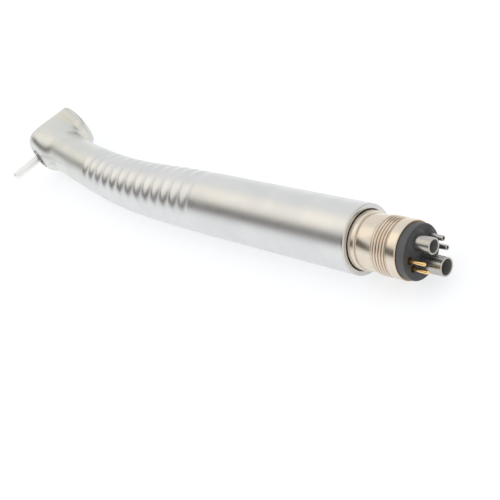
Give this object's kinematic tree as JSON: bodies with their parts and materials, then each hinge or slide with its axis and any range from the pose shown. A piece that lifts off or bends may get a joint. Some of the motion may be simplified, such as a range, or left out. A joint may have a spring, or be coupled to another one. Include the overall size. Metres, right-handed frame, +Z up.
{
  "type": "dental high speed handpiece",
  "caption": "Air turbine dental handpiece with ribbed grip, angled head, push-button chuck with a blank bur, and a threaded coupling end with air and water tubes and lamp contacts.",
  "frame": {"origin": "middle of the coupling gasket's rear face, on the handle's axis", "axes": "+X out of the coupling along the handle's axis, +Y away from the bur in the plane of the neck's bend, +Z up with the handpiece lying on its side"},
  "size_m": [0.129, 0.0227, 0.0136],
  "materials": {
    "satin_steel": "bead blasted, satin",
    "cap_steel": "satin with a bright edge",
    "button_steel": "satin",
    "champagne_metal": "turned and plated, champagne tint",
    "tube_steel": "drawn tube, polished",
    "bur_steel": "ground",
    "contact_gold": "gold plated",
    "black_rubber": "moulded, matt",
    "bearing_steel": "polished",
    "cage_resin": "machined resin",
    "impeller_aluminium": "machined",
    "spring_steel": "bright wire",
    "manifold_brass": "turned",
    "white_plastic": "moulded",
    "guide_glass": "polished rod",
    "lamp_glass": "clear bulb"
  },
  "bodies": {
    "housing": {"handle_shell": "satin_steel", "head_housing": "satin_steel", "back_cap": "cap_steel", "button_spring": "spring_steel", "cap_seal_ring": "black_rubber", "preload_washer": "spring_steel", "spray_ring": "satin_steel", "light_window": "guide_glass", "light_guide": "guide_glass", "lamp": "lamp_glass", "lamp_socket": "white_plastic", "pipe_spacer": "white_plastic", "drive_air_pipe": "tube_steel", "exhaust_pipe": "tube_steel", "water_pipe": "tube_steel", "chip_air_pipe": "tube_steel", "connector_body": "champagne_metal", "gasket": "black_rubber", "tube_manifold": "manifold_brass", "drive_air_tube": "tube_steel", "exhaust_tube": "tube_steel", "water_tube": "tube_steel", "chip_air_tube": "tube_steel", "contact_pin_1": "contact_gold", "contact_pin_2": "contact_gold", "contact_sleeve_1": "white_plastic", "contact_sleeve_2": "white_plastic", "connector_o_ring": "black_rubber", "lip_ring": "black_rubber", "lock_ring": "manifold_brass", "lower_bearing_outer_ring": "bearing_steel", "lower_bearing_shield": "spring_steel", "lower_bearing_o_ring": "black_rubber", "upper_bearing_outer_ring": "bearing_steel", "upper_bearing_shield": "spring_steel", "upper_bearing_o_ring": "black_rubber"},
    "rotor": {"spindle": "bearing_steel", "chuck_collet": "bearing_steel", "impeller": "impeller_aluminium", "lower_bearing_inner_ring": "bearing_steel", "upper_bearing_inner_ring": "bearing_steel"},
    "lower_cage": {"lower_bearing_balls": "bearing_steel", "lower_bearing_cage": "cage_resin"},
    "upper_cage": {"upper_bearing_balls": "bearing_steel", "upper_bearing_cage": "cage_resin"},
    "bur": {"bur_blank": "bur_steel"},
    "button": {"push_button": "button_steel"},
    "plunger": {"release_plunger": "bearing_steel"}
  },
  "joints": [
    {"name": "rotor_spin", "type": "hinge", "parent": "housing", "child": "rotor", "pos_m": [-0.11841, 0.00726, 0], "axis": [0.1736, 0.9848, 0], "continuous": true},
    {"name": "lower_cage_spin", "type": "hinge", "parent": "housing", "child": "lower_cage", "pos_m": [-0.11841, 0.00726, 0], "axis": [0.1736, 0.9848, 0], "continuous": true},
    {"name": "upper_cage_spin", "type": "hinge", "parent": "housing", "child": "upper_cage", "pos_m": [-0.11841, 0.00726, 0], "axis": [0.1736, 0.9848, 0], "continuous": true},
    {"name": "bur_pull", "type": "slide", "parent": "rotor", "child": "bur", "axis": [-0.1736, -0.9848, 0], "range_m": [0, 0.0085]},
    {"name": "button_press", "type": "slide", "parent": "housing", "child": "button", "axis": [-0.1736, -0.9848, 0], "range_m": [0, 0.0008], "stiffness_N_per_m": 10000, "deforming": ["button_spring"]},
    {"name": "plunger_travel", "type": "slide", "parent": "rotor", "child": "plunger", "axis": [-0.1736, -0.9848, 0], "range_m": [0, 0.0005]}
  ],
  "couplings": [
    {"joint": "lower_cage_spin", "follows": "rotor_spin", "ratio": 0.395},
    {"joint": "upper_cage_spin", "follows": "rotor_spin", "ratio": 0.395},
    {"joint": "plunger_travel", "follows": "button_press", "ratio": 0.6}
  ]
}
